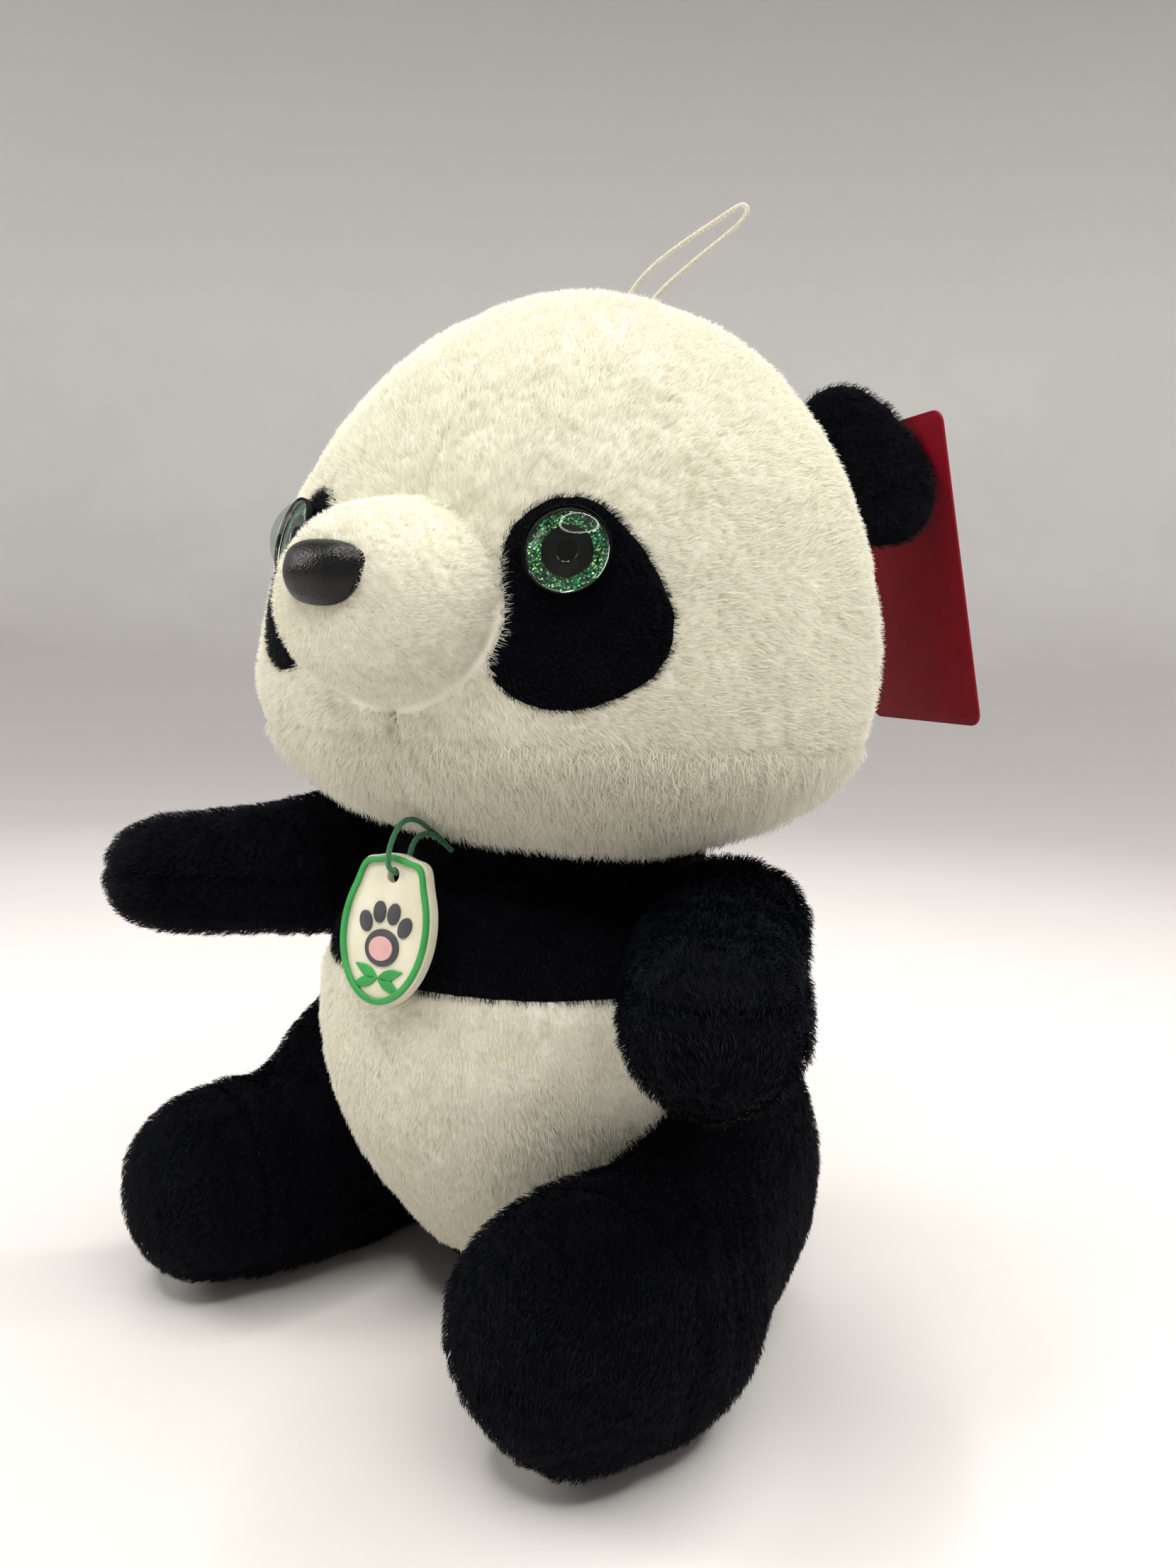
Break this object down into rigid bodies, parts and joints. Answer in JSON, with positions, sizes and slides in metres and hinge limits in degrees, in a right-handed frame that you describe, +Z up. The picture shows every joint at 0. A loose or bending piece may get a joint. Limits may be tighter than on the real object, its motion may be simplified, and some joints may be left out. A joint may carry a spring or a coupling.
{
  "type": "plush panda",
  "caption": "Seated plush panda with a large head, glitter eyes, moulded nose, jointed limbs, hang loop, swing tag and a medal on a cord.",
  "frame": {"origin": "on the floor under the middle of the flat seat", "axes": "+Z up; -Y the way the panda faces; +X the panda's left"},
  "size_m": [0.2438, 0.2048, 0.3166],
  "materials": {
    "white_plush": "short pile plush, off-white",
    "black_plush": "short pile plush, black with a blue sheen",
    "polyester_fill": "loose white fibre",
    "eye_lens": "clear moulded plastic dome with a polished face",
    "eye_black": "gloss black",
    "eye_glitter": "green glitter under the clear dome",
    "washer": "plain moulded plastic",
    "nose_plastic": "black, finely pebbled, half gloss",
    "tag_card": "dark red printed card, coated",
    "tag_pin": "translucent nylon fastener",
    "loop_thread": "cream twisted thread",
    "medal_cord": "thin green cord",
    "medal_plate": "cream moulded plate, satin",
    "medal_rim": "green raised rim, satin"
  },
  "bodies": {
    "torso": {"chest_panel": "black_plush", "belly_panel": "white_plush", "back_panel": "black_plush", "seat_panel": "black_plush", "torso_stuffing": "polyester_fill", "medal_cord": "medal_cord"},
    "neck": {"neck_stuffing": "polyester_fill"},
    "head": {"muzzle_cover": "white_plush", "muzzle_stuffing": "polyester_fill", "head_cover_left": "white_plush", "head_cover_right": "white_plush", "head_stuffing": "polyester_fill", "nose": "nose_plastic", "nose_washer": "washer", "eye_lens_left": "eye_lens", "eye_pupil_left": "eye_black", "eye_glitter_disc_left": "eye_glitter", "eye_washer_left": "washer", "eye_patch_left": "black_plush", "eye_lens_right": "eye_lens", "eye_pupil_right": "eye_black", "eye_glitter_disc_right": "eye_glitter", "eye_washer_right": "washer", "eye_patch_right": "black_plush"},
    "ear_left": {"ear_front_left": "black_plush", "ear_back_left": "black_plush", "tag_pin": "tag_pin"},
    "ear_right": {"ear_front_right": "black_plush", "ear_back_right": "black_plush"},
    "swing_tag": {"swing_tag": "tag_card"},
    "hang_loop": {"hang_loop": "loop_thread"},
    "medal": {"medal_plate": "medal_plate", "medal_rim": "medal_rim"},
    "arm_left": {"arm_upper_panel_left": "black_plush", "arm_under_panel_left": "black_plush", "arm_stuffing_left": "polyester_fill"},
    "leg_left": {"leg_cover_left": "black_plush", "sole_panel_left": "black_plush", "leg_stuffing_left": "polyester_fill"},
    "arm_right": {"arm_upper_panel_right": "black_plush", "arm_under_panel_right": "black_plush", "arm_stuffing_right": "polyester_fill"},
    "leg_right": {"leg_cover_right": "black_plush", "sole_panel_right": "black_plush", "leg_stuffing_right": "polyester_fill"}
  },
  "joints": [
    {"name": "neck_turn", "type": "hinge", "parent": "torso", "child": "neck", "pos_m": [0, 0, 0.148], "axis": [0.0698, 0, 0.9976], "range_deg": [-25, 25], "stiffness_Nm_per_rad": 0.4},
    {"name": "head_nod", "type": "hinge", "parent": "neck", "child": "head", "pos_m": [0, 0, 0.148], "axis": [1, 0, 0], "range_deg": [-6, 4], "stiffness_Nm_per_rad": 0.8},
    {"name": "ear_left_flex", "type": "hinge", "parent": "head", "child": "ear_left", "pos_m": [0.05984, 0.04401, 0.23805], "axis": [0.567, -0.142, -0.8114], "range_deg": [-15, 15], "stiffness_Nm_per_rad": 0.04},
    {"name": "ear_right_flex", "type": "hinge", "parent": "head", "child": "ear_right", "pos_m": [-0.04672, 0.04401, 0.2455], "axis": [0.6744, 0.142, 0.7246], "range_deg": [-15, 15], "stiffness_Nm_per_rad": 0.04},
    {"name": "tag_swing", "type": "hinge", "parent": "ear_left", "child": "swing_tag", "pos_m": [0.0689, 0.0689, 0.2543], "axis": [-0.5787, -0.7871, -0.2133], "range_deg": [-20, 20]},
    {"name": "loop_flex", "type": "hinge", "parent": "head", "child": "hang_loop", "pos_m": [0.00277, 0.0236, 0.28514], "axis": [0, -1, 0], "range_deg": [-25, 25], "stiffness_Nm_per_rad": 0.002},
    {"name": "medal_swing", "type": "hinge", "parent": "torso", "child": "medal", "pos_m": [0.0015, -0.0675, 0.138], "axis": [-1, 0, 0], "range_deg": [0, 60]},
    {"name": "arm_left_swing", "type": "hinge", "parent": "torso", "child": "arm_left", "pos_m": [0.05, -0.008, 0.121], "axis": [-1, 0, 0], "range_deg": [-8, 12], "stiffness_Nm_per_rad": 0.2},
    {"name": "arm_right_swing", "type": "hinge", "parent": "torso", "child": "arm_right", "pos_m": [-0.05, -0.008, 0.121], "axis": [-1, 0, 0], "range_deg": [-8, 30], "stiffness_Nm_per_rad": 0.2},
    {"name": "leg_left_swing", "type": "hinge", "parent": "torso", "child": "leg_left", "pos_m": [0.033, 0.008, 0.046], "axis": [-0.9903, -0.1392, 0], "range_deg": [0, 6], "stiffness_Nm_per_rad": 0.4},
    {"name": "leg_right_swing", "type": "hinge", "parent": "torso", "child": "leg_right", "pos_m": [-0.033, 0.008, 0.046], "axis": [-0.9744, 0.225, 0], "range_deg": [0, 6], "stiffness_Nm_per_rad": 0.4}
  ]
}
